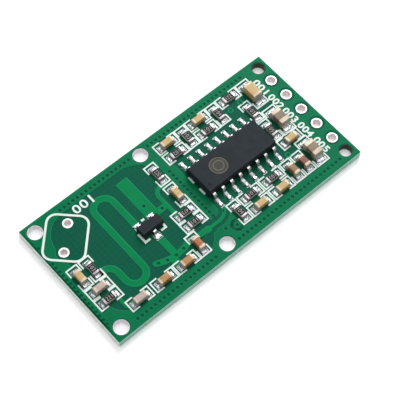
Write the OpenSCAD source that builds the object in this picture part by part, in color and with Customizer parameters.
// Microwave radar motion sensor: a small circuit board with a printed antenna at one end
// and a timer chip, its small parts and a row of pin holes at the other.
// X runs along the board to the pin end, Y across it, Z up. The origin is on the board's
// underside, at its middle.

/* [Board] */
// Thickness of the laminate
board_t = 1.0; // [0.8:0.1:1.6]
// Radius of the board's corners
corner_r = 0.12; // [0.05:0.01:0.8]
// Thickness of the copper foil with the lacquer on it
foil_t = 0.05; // [0.03:0.01:0.08]
// Bare edge left around the copper
edge_gap = 0.15; // [0.1:0.05:0.25]
// Gap between the copper and a hole or pad that it mustn't touch
copper_gap = 0.3; // [0.2:0.05:0.35]

/* [Layout] */
// Distance from the antenna end to the middle of the resistor where the antenna starts
start_end = 3.25; // [3.2:0.05:4]
// Length of the antenna before its first bend
start_lead = 0.7; // [0.6:0.05:1]
// Distance from the transistor to the column of parts beside the chip
feed_step = 4.87; // [4.8:0.01:5.2]
// Gap between that column's outlines and the chip's body
strip_w = 1.68; // [1.6:0.02:2.4]
// Gap between the chip's body and the next outline
chip_clear = 0.4; // [0.3:0.05:0.8]
// Distance from the large capacitors' outlines to the pin end
pin_zone = 3.25; // [3.2:0.05:4]
// Gap between the chip's pads and the outlines on their far side
far_gap = 0.33; // [0.2:0.01:0.6]
// Gap between the chip's pads and the outlines on their near side
near_gap = 0.17; // [0.12:0.01:0.3]
// Distance from the outlines to the far long edge
far_margin = 1.42; // [1.3:0.02:2]

/* [Mounting holes] */
// Diameter of the four screw holes around the antenna
mount_d = 1.7; // [1.4:0.1:2]
// Distance from the antenna end to the first pair of screw holes
mount_end = 1.35; // [1.2:0.05:1.6]
// Distance from the column of parts beside the chip to the second pair of screw holes
mount_step = 0.23; // [0.1:0.01:0.3]
// Distance from the long edges to every screw hole
mount_inset = 1.25; // [1.15:0.05:1.4]
// Diameter of the two screw holes beside the pin holes
rear_mount_d = 1.5; // [1.2:0.1:1.7]

/* [Plated holes] */
// Number of pin holes
pin_count = 5; // [3:1:5]
// Distance between pin holes
pin_pitch = 2.54; // [2.4:0.01:2.6]
// Distance from the pin end to the row of pin holes
pin_end = 1.2; // [1.1:0.05:1.4]
// Bore of a pin hole
pin_bore = 1.0; // [0.7:0.05:1]
// Diameter of a pin hole's ring
pin_ring_d = 1.3; // [1.2:0.05:1.5]
// Wall of the plating in every plated hole
plating_t = 0.05; // [0.03:0.01:0.08]
// Distance between the two holes for a light sensor
sensor_pitch = 3.55; // [3:0.05:3.8]
// Bore of a light sensor hole
sensor_bore = 0.8; // [0.6:0.05:0.9]
// Diameter of a light sensor hole's ring
sensor_ring_d = 1.2; // [1.1:0.01:1.4]
// Distance from the antenna end to the light sensor's middle
sensor_end = 3.46; // [3.3:0.02:3.7]
// Distance from the far long edge to the light sensor's middle
sensor_inset = 3.92; // [3.8:0.02:4.2]
// Diameter of a stitching hole
via_d = 0.4; // [0.2:0.05:0.45]
// Distance between stitching holes
via_pitch = 0.61; // [0.58:0.005:0.8]

/* [Antenna] */
// Width of the antenna's track
antenna_w = 0.82; // [0.6:0.02:1]
// Distance between the antenna's legs
leg_pitch = 2.52; // [2.3:0.02:2.7]
// Radius of the bend where the antenna starts
start_r = 1.21; // [1:0.01:1.4]
// Height of the middle of the far loop over the board's middle line
far_loop_y = 4.66; // [4:0.02:5]
// Depth of the middle of the near loop under the board's middle line
near_loop_y = 3.42; // [3:0.02:3.5]
// Width of the broad patch at the transistor
patch_w = 1.6; // [1.2:0.05:1.8]
// Distance from the far long edge to the end of the broad patch
patch_inset = 2.4; // [2:0.02:3]
// Width of the feed track
feed_w = 0.5; // [0.3:0.05:0.6]
// Width of the curved track under the transistor
emitter_w = 0.75; // [0.6:0.05:0.8]
// Radius of the curved track under the transistor
emitter_r = 5.37; // [5.2:0.01:5.5]
// Width of the supply track and of the short links
link_w = 0.4; // [0.25:0.05:0.5]

/* [Timer chip] */
// Length of the chip's body past the middle of its last lead
chip_overhang = 0.505; // [0.4:0.005:0.7]
// Width of the chip's body
chip_w = 3.9; // [3.7:0.1:4]
// Height of the chip's body
chip_h = 1.45; // [1.2:0.05:1.75]
// Gap under the chip's body
chip_gap = 0.1; // [0.05:0.01:0.25]
// Number of leads on each side
lead_count = 8; // [4:1:8]
// Distance between leads
lead_pitch = 1.27; // [1.2:0.01:1.3]
// Width of a lead
lead_w = 0.41; // [0.3:0.01:0.5]
// Thickness of a lead
lead_t = 0.2; // [0.12:0.01:0.25]
// Width over the feet of both rows of leads
lead_span = 6.0; // [5.9:0.05:6.2]
// Radius of a lead's bends, at the middle of its thickness
lead_bend_r = 0.2; // [0.15:0.01:0.22]
// Length of a lead's pad
lead_pad_l = 1.25; // [1.1:0.05:1.3]
// Width of a lead's pad
lead_pad_w = 0.55; // [0.52:0.01:0.7]
// Length of a lead's pad in front of its foot
toe_l = 0.65; // [0.5:0.05:0.7]
// Diameter of the round mark that the mould leaves
ejector_d = 2.2; // [1.5:0.1:3]
// Depth of the round mark and of the dimple at the first lead
dimple_t = 0.06; // [0.03:0.01:0.1]

/* [Transistor] */
// How far the transistor's middle lies off the board's middle line
transistor_y = -0.42; // [-0.6:0.01:-0.35]
// How far the transistor sits off the middle of its pads
transistor_slip = 0.15; // [0:0.01:0.2]
// Length of the transistor's body
transistor_l = 2.9; // [2.7:0.05:3.1]
// Width of the transistor's body
transistor_w = 1.3; // [1.2:0.05:1.4]
// Height of the transistor's body
transistor_h = 0.95; // [0.8:0.05:1.1]
// Gap under the transistor's body
transistor_gap = 0.05; // [0.03:0.01:0.1]
// Distance between the transistor's two near leads
transistor_pitch = 1.9; // [1.8:0.02:1.95]
// Width of a transistor lead
transistor_lead_w = 0.42; // [0.35:0.01:0.5]
// Thickness of a transistor lead
transistor_lead_t = 0.13; // [0.1:0.01:0.18]
// Width over the transistor's feet
transistor_span = 2.5; // [2.4:0.02:2.6]

/* [Small parts] */
// Length of a small resistor or capacitor
small_l = 1.6; // [1.5:0.02:1.7]
// Width of a small resistor or capacitor
small_w = 0.8; // [0.7:0.02:0.86]
// Length of a large capacitor
large_l = 2.0; // [1.9:0.05:2.2]
// Width of a large capacitor
large_w = 1.25; // [1.1:0.05:1.25]
// Height of a resistor
resistor_h = 0.45; // [0.35:0.01:0.55]
// Height of a small capacitor
small_cap_h = 0.8; // [0.5:0.05:0.9]
// Height of a large capacitor
large_cap_h = 1.15; // [0.8:0.05:1.3]
// Length of the tinned end of a small part
tinned_l = 0.3; // [0.2:0.02:0.4]
// How far the tinned ends stand out around a part's body
tinned_t = 0.02; // [0.01:0.01:0.04]
// Thickness of a resistor's dark coat
coat_t = 0.04; // [0.02:0.01:0.06]
// Length of a small part's pads
pad_l = 0.8; // [0.7:0.02:0.84]
// Width of a small part's pads
pad_w = 0.9; // [0.86:0.02:1]
// How far a small part's pads reach from its middle
pad_reach = 1.25; // [1.2:0.01:1.3]
// How far a large capacitor's pads reach from its middle
large_pad_reach = 1.73; // [1.6:0.01:1.8]
// Height of the solder on a small part's end
solder_h = 0.32; // [0.2:0.01:0.34]
// Pad left bare around the solder
solder_inset = 0.05; // [0.03:0.01:0.1]

/* [Print] */
// Width of the white lines
line_w = 0.17; // [0.1:0.01:0.2]
// Width of the bold white lines
bold_w = 0.26; // [0.2:0.01:0.3]
// Thickness of the print
print_t = 0.03; // [0.02:0.01:0.05]
// Length of a small part's outline
outline_l = 3.1; // [3.1:0.02:3.2]
// Width of a small part's outline
outline_w = 1.5; // [1.46:0.02:1.54]
// Length of a large capacitor's outline
large_outline_l = 4.05; // [4:0.02:4.1]
// Width of a large capacitor's outline
large_outline_w = 1.85; // [1.8:0.02:1.9]
// Length of each arm of an outline's brackets
arm_l = 1.02; // [0.8:0.02:1.2]
// How far the print sits off the copper
print_shift = 0.1; // [0:0.01:0.12]
// Length of the light sensor's outline
sensor_outline_l = 5.8; // [5.4:0.05:5.9]
// Width of the light sensor's outline
sensor_outline_w = 4.9; // [4.4:0.05:5]
// Corner radius of the light sensor's outline
sensor_outline_r = 1.2; // [0.8:0.05:1.5]

/* [Hidden] */
$fn = 48;
sink = 1;
pad_z = board_t + foil_t;

laminate_green = "#1f6350";
copper_green = "#128a58";
print_white = "#eef4f0";
tin_grey = "#c9ccce";
mould_grey = "#34353d";
coat_black = "#1c1d20";
alumina_white = "#e4e3dc";
ceramic_tan = "#bf9f74";
ceramic_pink = "#b9a092";
ceramic_orange = "#b9713f";
ceramic_brown = "#8d765c";

// Small parts stand in rows and columns whose outlines nearly touch
row_gap = 0.15;
tight_gap = 0.03;
wide_gap = 0.1;
row_pitch = outline_w + row_gap;
half_l = outline_l / 2;
half_w = outline_w / 2;

// The board is as long and as wide as what stands on it
pad_out = lead_span / 2 + toe_l;
chip_l = (lead_count - 1) * lead_pitch + 2 * chip_overhang;
transistor_end = start_end + start_lead + start_r + 2 * leg_pitch + transistor_pitch / 2;
feed_end = transistor_end + feed_step;
side_gap = row_gap / 3;
board_l = feed_end + half_w + strip_w + chip_l + chip_clear
    + outline_w + side_gap + large_outline_w + pin_zone;
board_w = 2 * (pad_out + far_gap + 2 * outline_w + row_gap + far_margin);

function from_left(d) = -board_l / 2 + d;
function from_right(d) = board_l / 2 - d;
function far(d) = board_w / 2 - d;
function near(d) = -board_w / 2 + d;

// Places of the plated holes and the screw holes
pin_x = from_right(pin_end);
pins = [for (i = [0:pin_count - 1]) [pin_x, pin_pitch * ((pin_count - 1) / 2 - i)]];
sensor_at = [from_left(sensor_end), far(sensor_inset)];
sensor_turn = 45;
along_sensor = [cos(sensor_turn), sin(sensor_turn)];
sensor_holes = [for (s = [1, -1]) sensor_at + s * sensor_pitch / 2 * along_sensor];
mounts = [for (x = [mount_end, feed_end + mount_step], y = [far(mount_inset), near(mount_inset)])
    [from_left(x), y]];
rear_mounts = [[pin_x, far(mount_inset)], [pin_x, near(mount_inset)]];

// Kinds of small part: length, width, height, pad reach, outline length, outline width
RESISTOR = [small_l, small_w, resistor_h, pad_reach, outline_l, outline_w];
SMALL_CAP = [small_l, small_w, small_cap_h, pad_reach, outline_l, outline_w];
LARGE_CAP = [large_l, large_w, large_cap_h, large_pad_reach, large_outline_l, large_outline_w];
FLAT = 0;
UPRIGHT = 90;

// Rows on both sides of the chip
far_row_2 = pad_out + far_gap + half_w;
far_row = far_row_2 + row_pitch;
far_mid = (far_row + far_row_2) / 2;
near_row_2 = -(pad_out + near_gap + half_w);
near_row = near_row_2 - row_pitch;
near_mid = (near_row + near_row_2) / 2;

// Columns over the chip, from the large capacitors at the pin end back to the antenna
large_x = from_right(pin_zone + large_outline_w / 2);
far_col_1 = large_x - large_outline_w / 2 - tight_gap - half_l;
far_col_2 = far_col_1 - half_l - tight_gap - half_w;
far_col_3 = far_col_2 - half_w - tight_gap - half_l;
far_col_4 = far_col_3 - half_l - tight_gap - half_w;
far_col_5 = far_col_4 - half_w - tight_gap - half_l;

// Columns under the chip, in the same order
near_col_1 = large_x - large_outline_w / 2 - wide_gap - half_w;
near_col_2 = near_col_1 - outline_w - wide_gap;
near_col_3 = near_col_2 - half_w - wide_gap - half_l;
near_col_4 = near_col_3 - outline_l - wide_gap;
near_col_5 = near_col_4 - half_l - wide_gap - half_w;

// The stack at the pin end, whose outlines share a line
side_x = large_x - large_outline_w / 2 - side_gap - half_w;
stack_y_1 = near_row - half_w + large_outline_l / 2;
stack_y_2 = stack_y_1 + large_outline_l / 2 - line_w / 3 + half_w;
stack_y_3 = stack_y_2 + half_w - line_w / 3 + large_outline_l / 2;
side_y = stack_y_2 + half_w + half_l;

// The group at the antenna end
start_x = from_left(start_end);
start_y = -0.18;
group_x = start_x - row_pitch / 2;
group_y = start_y - half_l - tight_gap - half_w;

// The column between the antenna and the chip
feed_col = from_left(feed_end);
feed_row = feed_col - half_l + half_w;
feed_y = -1.55;
feed_y_2 = feed_y + half_w + half_l;
feed_y_3 = feed_y_2 + outline_l + 0.22;

// The row along the near edge, under the transistor
transistor_x = from_left(transistor_end);
row_x_3 = transistor_x + 0.3;
row_x_2 = row_x_3 - outline_l - 0.07;
row_x_1 = row_x_2 - outline_l - 0.28;
row_x_4 = row_x_3 + half_l + tight_gap + half_w;

// Each small part: name, kind, place, turn, colour
resistors = [
    ["resistor_r1", RESISTOR, [start_x, start_y], UPRIGHT, coat_black],
    ["resistor_r2", RESISTOR, [group_x, group_y - outline_w - tight_gap], FLAT, coat_black],
    ["resistor_r3", RESISTOR, [feed_col, feed_y_3], UPRIGHT, coat_black],
    ["resistor_r4", RESISTOR, [feed_row, feed_y], FLAT, coat_black],
    ["resistor_r5", RESISTOR, [feed_row, feed_y - outline_w - tight_gap], FLAT, coat_black],
    ["resistor_r6", RESISTOR, [far_col_5, far_row_2], FLAT, coat_black],
    ["resistor_r7", RESISTOR, [far_col_4, far_mid], UPRIGHT, coat_black],
    ["resistor_r8", RESISTOR, [far_col_3, far_row_2], FLAT, coat_black],
    ["resistor_r9", RESISTOR, [far_col_2, far_mid], UPRIGHT, coat_black],
    ["resistor_r10", RESISTOR, [far_col_1, far_row], FLAT, coat_black],
    ["resistor_r11", RESISTOR, [side_x, side_y + outline_l + wide_gap], UPRIGHT, coat_black],
    ["resistor_r12", RESISTOR, [side_x, side_y], UPRIGHT, coat_black],
    ["resistor_r13", RESISTOR, [near_col_5, near_mid], UPRIGHT, coat_black],
    ["resistor_r14", RESISTOR, [near_col_4, near_row_2], FLAT, coat_black],
    ["resistor_r15", RESISTOR, [near_col_3, near_row_2], FLAT, coat_black]
];
capacitors = [
    ["capacitor_c1", SMALL_CAP, [start_x - row_pitch, start_y], UPRIGHT, ceramic_tan],
    ["capacitor_c2", SMALL_CAP, [group_x, group_y], FLAT, ceramic_pink],
    ["capacitor_c3", SMALL_CAP, [row_x_1, near_row], FLAT, ceramic_pink],
    ["capacitor_c4", SMALL_CAP, [row_x_2, near_row], FLAT, ceramic_orange],
    ["capacitor_c5", SMALL_CAP, [row_x_3, near_row], FLAT, ceramic_orange],
    ["capacitor_c6", SMALL_CAP, [row_x_4, near_mid], UPRIGHT, ceramic_orange],
    ["capacitor_c7", SMALL_CAP, [feed_col, feed_y_2], UPRIGHT, ceramic_tan],
    ["capacitor_c8", SMALL_CAP, [far_col_5, far_row], FLAT, ceramic_tan],
    ["capacitor_c9", SMALL_CAP, [far_col_3, far_row], FLAT, ceramic_tan],
    ["capacitor_c10", LARGE_CAP, [large_x, far_row + half_w - large_outline_l / 2], UPRIGHT, ceramic_tan],
    ["capacitor_c11", LARGE_CAP, [large_x, stack_y_3], UPRIGHT, ceramic_brown],
    ["capacitor_c12", SMALL_CAP, [large_x - 0.78, stack_y_2], FLAT, ceramic_tan],
    ["capacitor_c13", LARGE_CAP, [large_x, stack_y_1], UPRIGHT, ceramic_brown],
    ["capacitor_c14", SMALL_CAP, [near_col_4, near_row], FLAT, ceramic_tan],
    ["capacitor_c15", SMALL_CAP, [near_col_3, near_row], FLAT, ceramic_tan],
    ["capacitor_c16", SMALL_CAP, [near_col_2, near_mid], UPRIGHT, ceramic_brown],
    ["capacitor_c17", SMALL_CAP, [near_col_1, near_mid], UPRIGHT, ceramic_brown]
];
small_parts = concat(resistors, capacitors);

// The chip and the transistor
chip_x = side_x - half_w - chip_clear - chip_l / 2;
row_1 = -lead_pitch * (lead_count - 1) / 2;
draft = 7;
transistor_pad = [0.9, 1.05];
transistor_toe = 0.3;
transistor_pads = [
    [transistor_x - transistor_pitch / 2, 1],
    [transistor_x + transistor_pitch / 2, 1],
    [transistor_x, -1]
];
transistor_pad_y = transistor_span / 2 + transistor_toe - transistor_pad.y / 2;
upper_pad_y = transistor_y - transistor_slip + transistor_pad_y;
lower_pad_y = transistor_y - transistor_slip - transistor_pad_y;

pin_names = [for (i = [1:pin_count]) str("barrel_pin_", i)];
sensor_names = ["barrel_sensor_1", "barrel_sensor_2"];

// Points along an arc, and a box and a rounded box given by two corners
function arc(c, r, from, to, n = 10) =
    [for (i = [0:n]) let (a = from + (to - from) * i / n) c + r * [cos(a), sin(a)]];

module box(low, high) translate(low) square(high - low);

module rounded_box(low, high, r, n = 4)
    polygon(concat(
        arc([high.x - r, high.y - r], r, 0, 90, n), arc([low.x + r, high.y - r], r, 90, 180, n),
        arc([low.x + r, low.y + r], r, 180, 270, n), arc([high.x - r, low.y + r], r, 270, 360, n)
    ));

// A track of one width along a row of points
function heading(path, i) =
    let (step = path[min(i + 1, len(path) - 1)] - path[max(i - 1, 0)]) step / norm(step);
function beside(path, i, d) = let (t = heading(path, i)) path[i] + d * [-t.y, t.x];

module track(path, w)
    polygon([
        for (i = [0:len(path) - 1]) beside(path, i, w / 2),
        for (i = [len(path) - 1:-1:0]) beside(path, i, -w / 2)
    ]);

module on_board(t = foil_t) translate([0, 0, board_t]) linear_extrude(t) children();

module at_each(places) for (p = places) translate(p) children();

// Holes and rings
module all_mounts(extra = 0) {
    at_each(mounts) circle(d = mount_d + extra);
    at_each(rear_mounts) circle(d = rear_mount_d + extra);
}

module all_rings(extra = 0) {
    at_each(pins) circle(d = pin_ring_d + extra);
    at_each(sensor_holes) circle(d = sensor_ring_d + extra);
}

module barrel(bore, ring_d)
    color(tin_grey) rotate_extrude()
        polygon([
            [bore / 2, 0], [ring_d / 2, 0], [ring_d / 2, foil_t],
            [bore / 2 + plating_t, foil_t], [bore / 2 + plating_t, board_t],
            [ring_d / 2, board_t], [ring_d / 2, pad_z], [bore / 2, pad_z]
        ]);

// Stitching holes run in rows and columns of one pitch
function row_of(start, end, y) =
    [for (i = [0:floor((end - start) / via_pitch)]) [start + i * via_pitch, y]];
function column_of(x, start, end) =
    [for (i = [0:floor((end - start) / via_pitch)]) [x, start + i * via_pitch]];

row_inset = 0.85;
mid_x = feed_col + half_w + 0.58;
row_end = large_x + large_outline_w / 2;
stitches = concat(
    row_of(sensor_at.x + 1.6, feed_col - mount_d / 2, far(row_inset)),
    row_of(mid_x + 0.25, row_end, far(row_inset)),
    row_of(start_x, feed_col - 1.45, near(row_inset)),
    row_of(mid_x + 0.3, row_end + 2 * via_pitch, near(row_inset)),
    column_of(from_left(0.42), near(2 * mount_inset), far(2 * mount_inset)),
    column_of(mid_x, -pad_out - 0.1, pad_out + far_gap),
    [[mid_x, near_row + 0.39]]
);

// Pads: two for each small part, one for each lead
module part_pads(part) {
    kind = part[1];
    width = kind[1] + pad_w - small_w;
    length = pad_l + (kind[0] - small_l) / 2;
    translate(part[2]) rotate(part[3])
        for (s = [-1, 1]) translate([s * (kind[3] - length / 2), 0]) square([length, width], center = true);
}

module chip_pads()
    for (i = [0:lead_count - 1], s = [-1, 1])
        translate([chip_x + row_1 + i * lead_pitch, s * (pad_out - lead_pad_l / 2)])
            square([lead_pad_w, lead_pad_l], center = true);

module pads_of_transistor()
    for (p = transistor_pads)
        translate([p.x, p.y > 0 ? upper_pad_y : lower_pad_y]) square(transistor_pad, center = true);

module pad_field() {
    for (part = small_parts) part_pads(part);
    chip_pads();
    pads_of_transistor();
}

// Copper
module antenna_shape() {
    leg_3 = transistor_x - transistor_pitch / 2;
    leg_2 = leg_3 - leg_pitch;
    leg_1 = leg_2 - leg_pitch;
    loop_r = leg_pitch / 2;
    start = [leg_1 - start_r, start_y - (pad_reach - pad_l / 2) - start_r];
    path = concat(
        [start + [-start_lead, start_r]],
        arc(start, start_r, 90, 0),
        arc([leg_1 + loop_r, -near_loop_y], loop_r, 180, 360, 16),
        arc([leg_2 + loop_r, far_loop_y], loop_r, 180, 0, 16),
        [[leg_3, upper_pad_y]]
    );
    track(path, antenna_w);
}

module collector_shape() {
    left = transistor_x + transistor_pitch / 2 - transistor_pad.x / 2;
    feed_x = feed_row - pad_reach + pad_l / 2;
    turn_r = 0.9;
    turn = [feed_x + turn_r, 1.85];
    low = upper_pad_y;
    box([left, low], [left + patch_w, far(patch_inset)]);
    box([left + transistor_pad.x / 2, low - 0.3], [feed_x, low + 0.55]);
    track(concat([[feed_x, feed_y]], arc(turn, turn_r, 180, 90), [[feed_col, turn.y + turn_r]]), feed_w);
}

emitter_centre = [transistor_x + 0.2, 0.63];

module emitter_shape() {
    centre = emitter_centre;
    path = arc(centre, emitter_r, -118, -66, 14);
    patch_x = row_x_3 - pad_reach;
    track(path, emitter_w);
    translate(path[0]) circle(d = emitter_w, $fn = 12);
    box([transistor_x - 0.4, centre.y - emitter_r], [transistor_x + 0.45, lower_pad_y]);
    box([patch_x, near_row], [patch_x + pad_w, centre.y - emitter_r]);
}

supply_r = 1.45;
supply_turn = [chip_x + row_1 - supply_r, 0.45 - pad_out];
supply_y = supply_turn.y - supply_r;
supply_gap = 0.42;
wide_x = feed_col + mount_step;
supply_path = concat(
    [supply_turn + [supply_r, 0.3]],
    arc(supply_turn, supply_r, 0, -90),
    [[wide_x - link_w, supply_y]]
);

module supply_shape() {
    track(supply_path, link_w);
    rounded_box([row_x_4, supply_y - link_w], [wide_x, supply_y + link_w], link_w * 0.9);
}

test_ring = [chip_x + row_1 - 0.35, near_mid - half_w - 0.15];
ringed_vias = [[far_col_1 - 0.83, far_row_2 + 0.37], [far_col_1 + 0.72, far_row_2 + 0.47],
    [side_x - 0.65, near_row_2 + 1.1]];

module ring(outer, inner) difference() {
    circle(r = outer, $fn = 24);
    circle(r = inner, $fn = 12);
}

module link_shape() {
    to_pad = pad_reach - pad_l / 2;
    start = [group_x + to_pad, group_y - outline_w - tight_gap];
    r = 0.5;
    turn = arc([start.x + r, near_row + r], r, 180, 270, 5);
    track(concat([start], turn, [[row_x_1 - to_pad, near_row]]), link_w);
    for (x = [far_col_5 - to_pad, far_col_3 - to_pad])
        track([[x, far_row], [x, far_row_2]], link_w);
    for (y = [near_row, near_row_2])
        track([[near_col_4 + to_pad, y], [near_col_3 - to_pad, y]], link_w);
    at_each(ringed_vias) ring(0.35, via_d / 2);
}

module tracks() {
    antenna_shape();
    collector_shape();
    emitter_shape();
    supply_shape();
    link_shape();
}

// Windows in the ground copper
module windows() {
    low_y = near_row - half_w - tight_gap;
    group_low_y = group_y - outline_w - half_w - wide_gap;
    chip_low = [chip_x - chip_l / 2 + 0.6, low_y];
    chip_high = [row_end + 0.15, far_row + half_w + 0.2];
    feed_edge = feed_col + half_w;
    antenna_end = from_left(1.75);
    antenna_r = 3.35;
    rounded_box([antenna_end, low_y], [feed_col + 0.43, far_row + half_w + 0.12], antenna_r, 10);
    box([group_x - half_l - wide_gap, group_low_y], [start_x + half_w + wide_gap, start_y + half_l + 0.2]);
    box([row_x_1 - half_l - wide_gap, low_y], [row_x_4 + half_w + wide_gap, near_row + half_w + 0.2]);
    box([feed_row, supply_y - 0.77], [feed_edge - 0.3, feed_y_3 + half_l + 0.2]);
    box([feed_row, supply_y], [feed_edge, feed_y_3 + half_l + 0.2]);
    track(supply_path, link_w + 2 * supply_gap);
    box(chip_low, chip_high);
    box([far_col_5 - half_l - wide_gap, far_row_2 - half_w], [chip_low.x + sink, chip_high.y]);
    box([chip_low.x - 0.73, -pad_out - 0.75], [chip_low.x + sink, far_row_2]);
}

module ground_pour() color(copper_green) on_board() {
    difference() {
        rounded_box([from_left(edge_gap), near(edge_gap)], [from_right(edge_gap), far(edge_gap)], corner_r);
        windows();
        all_mounts(2 * edge_gap);
        all_rings(2 * copper_gap);
        pad_field();
        at_each(stitches) circle(d = via_d, $fn = 8);
        translate(test_ring) circle(r = 0.8, $fn = 24);
    }
    translate(test_ring) ring(0.4, 0.2);
}

module copper_shape() difference() {
    children();
    pad_field();
}

module antenna_track() color(copper_green) on_board() copper_shape() antenna_shape();

module collector_patch() color(copper_green) on_board() {
    pad = [transistor_x + transistor_pitch / 2, upper_pad_y];
    difference() {
        copper_shape() collector_shape();
        at_each([pad + [patch_w / 4 - 0.15, 1.65], pad + [1.6, 0.12]]) circle(d = via_d, $fn = 8);
    }
}

module emitter_track() color(copper_green) on_board() difference() {
    copper_shape() emitter_shape();
    at_each([for (a = [-115, -104, -92, -80]) emitter_centre + emitter_r * [cos(a), sin(a)]])
        circle(d = via_d, $fn = 8);
}

module supply_track() color(copper_green) on_board() copper_shape() supply_shape();

module link_tracks() color(copper_green) on_board() copper_shape() link_shape();

module component_pads() color(tin_grey) on_board() pad_field();

// The board
module board_outline()
    rounded_box([from_left(0), near(0)], [from_right(0), far(0)], corner_r);

option_pad = [0.9, 0.8];
option_pitch = pad_reach + pad_l / 2;
option_step = 2.5;

module option_shape()
    for (i = [-1:1], s = [-1, 1])
        translate([chip_x + option_step * i, s * option_pitch / 2]) square(option_pad, center = true);

module circuit_board() color(laminate_green) difference() {
    linear_extrude(board_t) difference() {
        board_outline();
        all_mounts();
        at_each(pins) circle(d = pin_bore + 2 * plating_t);
        at_each(sensor_holes) circle(d = sensor_bore + 2 * plating_t);
    }
    translate([0, 0, -sink]) linear_extrude(foil_t + sink) {
        all_rings();
        option_shape();
    }
}

module option_pads_back() color(tin_grey) linear_extrude(foil_t) option_shape();

// White print: a pair of brackets round each small part, and marks at the chip and transistor
module brackets(l, w) difference() {
    square([l, w], center = true);
    square([l - 2 * line_w, w - 2 * line_w], center = true);
    square([l - 2 * arm_l, w + sink], center = true);
}

module sensor_outline() translate(sensor_at) rotate(sensor_turn) {
    half = [sensor_outline_l, sensor_outline_w] / 2;
    edge = [bold_w, bold_w];
    difference() {
        rounded_box(-half, half, sensor_outline_r, 6);
        rounded_box(edge - half, half - edge, sensor_outline_r - bold_w, 6);
    }
}

module chip_marks() for (y = [0.65, -1.2]) translate([chip_x - chip_l / 2 - 0.12, y]) difference() {
    box([0, 0], [0.45, 0.95]);
    box([bold_w, bold_w], [0.45 + sink, 0.95 - bold_w]);
}

module corner_mark(arm, height) {
    box([0, 0], [arm, bold_w]);
    box([0, 0], [bold_w, height]);
}

module transistor_marks() {
    side = transistor_l / 2 + 0.12;
    arm = 0.8;
    middle = transistor_x - 0.06;
    low = transistor_y - transistor_w / 2 - 0.49;
    translate([middle - side, low]) corner_mark(arm, 1.4);
    translate([middle + side, low]) mirror([1, 0]) corner_mark(arm, 0.75);
    translate([transistor_x, transistor_y + transistor_w / 2 + 0.63]) square([0.42, bold_w], center = true);
}

module print_shape() {
    translate([0, print_shift]) for (part = small_parts)
        translate(part[2]) rotate(part[3]) brackets(part[1][4] + tight_gap, part[1][5] + tight_gap);
    sensor_outline();
    chip_marks();
    transistor_marks();
}

module print_legend() color(print_white) difference() {
    on_board(foil_t + print_t) difference() {
        print_shape();
        pad_field();
        all_rings();
        at_each(ringed_vias) circle(r = 0.35, $fn = 24);
    }
    translate([0, 0, board_t - sink]) linear_extrude(foil_t + sink) {
        tracks();
        difference() {
            board_outline();
            windows();
        }
    }
}

// Solder climbs from the pad to the end of each part in a hollow curve
module fillet(length, height, width) {
    foot = 0.04;
    rotate([90, 0, 0]) linear_extrude(width, center = true)
        polygon(concat([[0, 0], [length, 0]], [
            for (i = [0:6]) let (a = 15 * i)
                [length * (1 - sin(a)), foot + (height - foot) * (1 - cos(a))]
        ]));
}

module solder_joints() color(tin_grey) translate([0, 0, pad_z]) {
    for (part = small_parts, s = [0, 180]) {
        kind = part[1];
        translate(part[2]) rotate(part[3] + s) translate([kind[0] / 2, 0, 0])
            fillet(kind[3] - kind[0] / 2 - solder_inset, solder_h, kind[1] + pad_w - small_w - 2 * solder_inset);
    }
    for (i = [0:lead_count - 1], s = [-90, 90])
        translate([chip_x + row_1 + i * lead_pitch, 0]) rotate(s) translate([lead_span / 2, 0, 0])
            fillet(toe_l - solder_inset, lead_t * 0.8, lead_pad_w - 2 * solder_inset);
    for (p = transistor_pads)
        translate([p.x, transistor_y]) rotate(90 * p.y) translate([transistor_span / 2, 0, 0])
            fillet(transistor_toe - p.y * transistor_slip - solder_inset, transistor_lead_t,
                transistor_pad.x - 2 * solder_inset);
}

// A moulded body, widest in a band where the leads leave it
module moulded_body(l, w, h, band_z, band_t) {
    module section(size, length) rotate([90, 0, 0]) linear_extrude(length + sink, center = true) {
        foot = (band_z - band_t / 2) * tan(draft);
        head = (h - band_z - band_t / 2) * tan(draft);
        half = size / 2;
        polygon([
            [foot - half, 0], [half - foot, 0], [half, band_z - band_t / 2], [half, band_z + band_t / 2],
            [half - head, h], [head - half, h], [-half, band_z + band_t / 2], [-half, band_z - band_t / 2]
        ]);
    }
    intersection() {
        section(l, w);
        rotate(90) section(w, l);
    }
}

// A lead from a body's side, down to its foot on the pad, in the Y and Z plane
module gull_lead(start, end, shoulder_z, t, w, bend_r) {
    slope = 8;
    upper = [start + bend_r * 0.75, shoulder_z - bend_r];
    drop = shoulder_z - t / 2 - 2 * bend_r * (1 - sin(slope));
    lower = [upper.x + 2 * bend_r * cos(slope) + drop * tan(slope), t / 2 + bend_r];
    out = bend_r + t / 2;
    in = bend_r - t / 2;
    rotate([90, 0, 90]) linear_extrude(w, center = true)
        polygon(concat(
            [[start, shoulder_z + t / 2]], arc(upper, out, 90, slope, 6), arc(lower, in, 180 + slope, 270, 6),
            [[end, t], [end, 0]], arc(lower, out, 270, 180 + slope, 6), arc(upper, in, slope, 90, 6),
            [[start, shoulder_z - t / 2]]
        ));
}

// The timer chip
chip_band_z = chip_h / 2;

module timer_chip_body() color(mould_grey) translate([chip_x, 0, pad_z + chip_gap]) difference() {
    moulded_body(chip_l, chip_w, chip_h, chip_band_z, lead_t);
    translate([-chip_l * 0.2, 0, chip_h - dimple_t]) cylinder(d = ejector_d, h = sink);
    translate([row_1, -chip_w / 2 + 0.65, chip_h - dimple_t]) cylinder(d = 0.5, h = sink);
}

module timer_chip_leads() color(tin_grey)
    for (i = [0:lead_count - 1], s = [0, 180])
        translate([chip_x + row_1 + i * lead_pitch, 0, pad_z]) rotate(s)
            gull_lead(chip_w / 2, lead_span / 2, chip_gap + chip_band_z, lead_t, lead_w, lead_bend_r);

// The transistor
transistor_band_z = transistor_h / 2;

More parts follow.
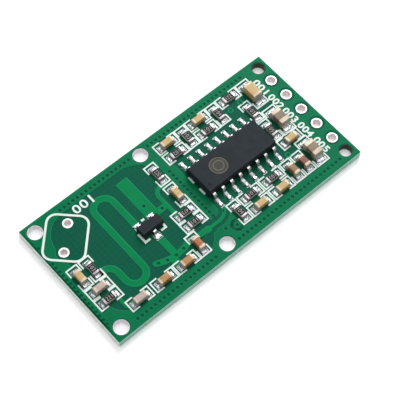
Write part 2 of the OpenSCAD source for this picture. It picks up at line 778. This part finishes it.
module transistor_body() color(mould_grey) translate([transistor_x, transistor_y, pad_z + transistor_gap])
    moulded_body(transistor_l, transistor_w, transistor_h, transistor_band_z, transistor_lead_t);

module transistor_lead(which) {
    p = transistor_pads[which];
    color(tin_grey) translate([p.x, transistor_y, pad_z]) rotate(90 - 90 * p.y)
        gull_lead(transistor_w / 2, transistor_span / 2, transistor_gap + transistor_band_z,
            transistor_lead_t, transistor_lead_w, transistor_lead_t * 1.2);
}

module transistor_base_lead() transistor_lead(0);

module transistor_collector_lead() transistor_lead(1);

module transistor_emitter_lead() transistor_lead(2);

// Small parts: a ceramic body between two tinned ends
module tinned_ends(size)
    for (s = [-1, 1]) translate([s * (size.x - tinned_l) / 2, 0, size.z / 2])
        cube([tinned_l, size.y, size.z], center = true);

module resistor(part) {
    size = [part[1][0], part[1][1], part[1][2]];
    core = size - 2 * [tinned_t, tinned_t, tinned_t];
    translate([part[2].x, part[2].y, pad_z]) rotate(part[3]) {
        color(alumina_white) translate([0, 0, size.z / 2]) cube(core, center = true);
        color(tin_grey) tinned_ends(size);
        color(part[4]) translate([0, 0, size.z - coat_t / 2])
            cube([size.x - 2 * tinned_l, core.y, coat_t], center = true);
    }
}

module capacitor(part) {
    size = [part[1][0], part[1][1], part[1][2]];
    translate([part[2].x, part[2].y, pad_z]) rotate(part[3]) {
        color(part[4]) translate([0, 0, size.z / 2])
            cube(size - 2 * [tinned_t, tinned_t, tinned_t], center = true);
        color(tin_grey) tinned_ends(size);
    }
}

circuit_board();
ground_pour();
antenna_track();
collector_patch();
emitter_track();
supply_track();
link_tracks();
component_pads();
option_pads_back();
print_legend();
solder_joints();
timer_chip_body();
timer_chip_leads();
transistor_body();
transistor_base_lead();
transistor_emitter_lead();
transistor_collector_lead();
for (i = [0:pin_count - 1])
    translate(pins[i]) barrel(pin_bore, pin_ring_d);
for (i = [0:1])
    translate(sensor_holes[i]) barrel(sensor_bore, sensor_ring_d);
for (part = resistors) resistor(part);
for (part = capacitors) capacitor(part);
